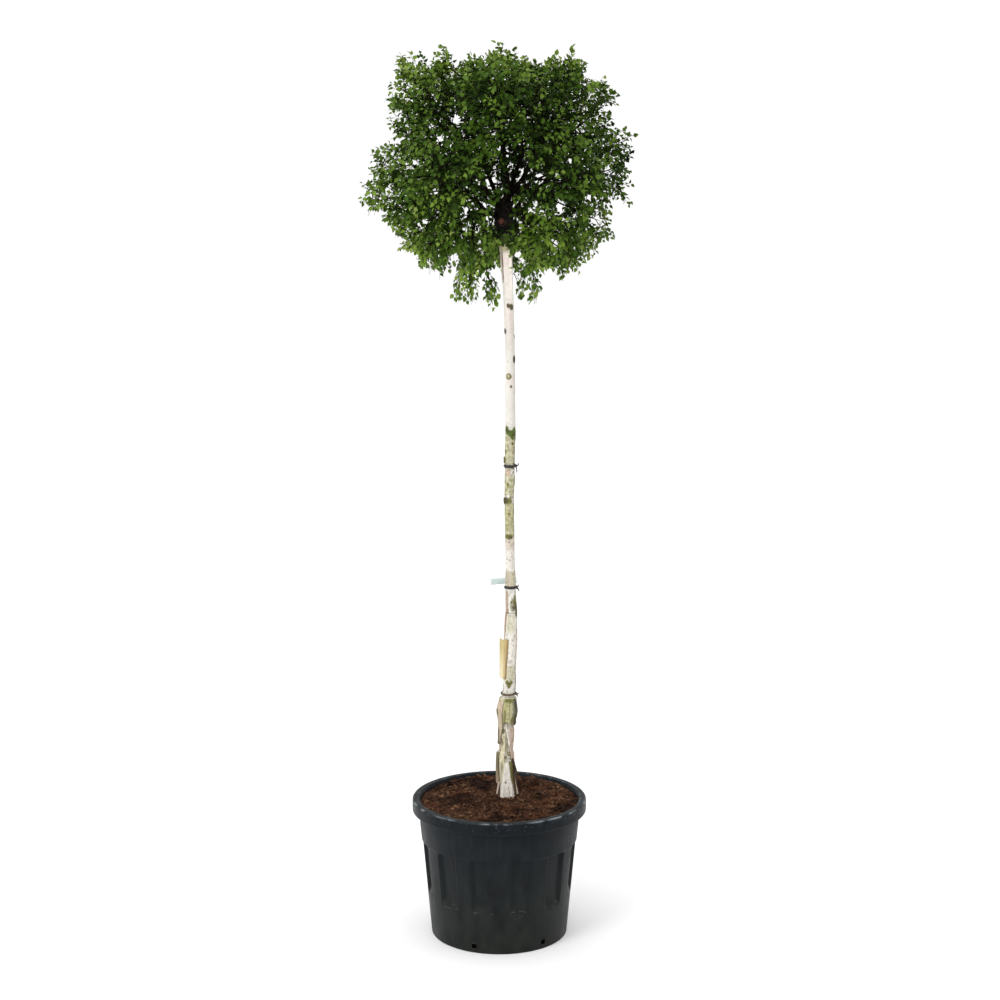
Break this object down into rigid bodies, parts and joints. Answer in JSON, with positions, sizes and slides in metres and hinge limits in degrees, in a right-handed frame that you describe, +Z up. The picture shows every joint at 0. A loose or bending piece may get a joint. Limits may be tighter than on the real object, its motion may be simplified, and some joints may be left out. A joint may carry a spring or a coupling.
{
  "type": "weeping birch tree in a nursery pot",
  "caption": "Young weeping birch grafted at head height: a slender white stem carries a dense rounded crown with trailing twigs, and stands in a black fluted nursery pot.",
  "frame": {"origin": "centre of the pot's flat underside", "axes": "+Z up along the stem, -Y towards the front, where the pruned stub on the graft faces"},
  "size_m": [0.7556, 0.74, 2.511],
  "materials": {
    "white_bark": "matt papery white bark with grey-green algae, ochre peeling strips and dark scars",
    "dark_bark": "matt dark brown young bark",
    "foliage": "mid-green leaves, brighter yellow-green at the top and outside",
    "pot_plastic": "satin black blow-moulded plastic with dusty, scuffed patches",
    "potting_mix": "coarse fibrous bark and peat, moist",
    "tie_rubber": "matt black",
    "label_plastic": "plain pale turquoise film, no print"
  },
  "bodies": {
    "root": {"bough_middle_1": "dark_bark", "bough_middle_2": "dark_bark", "bough_middle_3": "dark_bark", "bough_middle_4": "dark_bark", "bough_middle_5": "dark_bark", "bough_middle_6": "dark_bark", "bough_shoulder_1": "dark_bark", "bough_shoulder_2": "dark_bark", "bough_shoulder_3": "dark_bark", "bough_shoulder_4": "dark_bark", "bough_shoulder_5": "dark_bark", "bough_skirt_1": "dark_bark", "bough_skirt_2": "dark_bark", "bough_skirt_3": "dark_bark", "bough_skirt_4": "dark_bark", "bough_skirt_5": "dark_bark", "bough_top_1": "dark_bark", "mass_middle_1": "foliage", "mass_middle_2": "foliage", "mass_middle_3": "foliage", "mass_middle_4": "foliage", "mass_middle_5": "foliage", "mass_middle_6": "foliage", "mass_shoulder_1": "foliage", "mass_shoulder_2": "foliage", "mass_shoulder_3": "foliage", "mass_shoulder_4": "foliage", "mass_shoulder_5": "foliage", "mass_skirt_1": "foliage", "mass_skirt_2": "foliage", "mass_skirt_3": "foliage", "mass_skirt_4": "foliage", "mass_skirt_5": "foliage", "mass_top_1": "foliage", "mass_trailing_1": "foliage", "mass_trailing_2": "foliage", "mass_trailing_3": "foliage", "mass_trailing_4": "foliage", "mass_trailing_5": "foliage", "mass_trailing_6": "foliage", "pot": "pot_plastic", "soil": "potting_mix", "tag": "label_plastic", "tie_1": "tie_rubber", "tie_2": "tie_rubber", "tie_3": "tie_rubber", "trunk": "white_bark", "twig_trailing_1": "dark_bark", "twig_trailing_2": "dark_bark", "twig_trailing_3": "dark_bark", "twig_trailing_4": "dark_bark", "twig_trailing_5": "dark_bark", "twig_trailing_6": "dark_bark"}
  },
  "joints": []
}
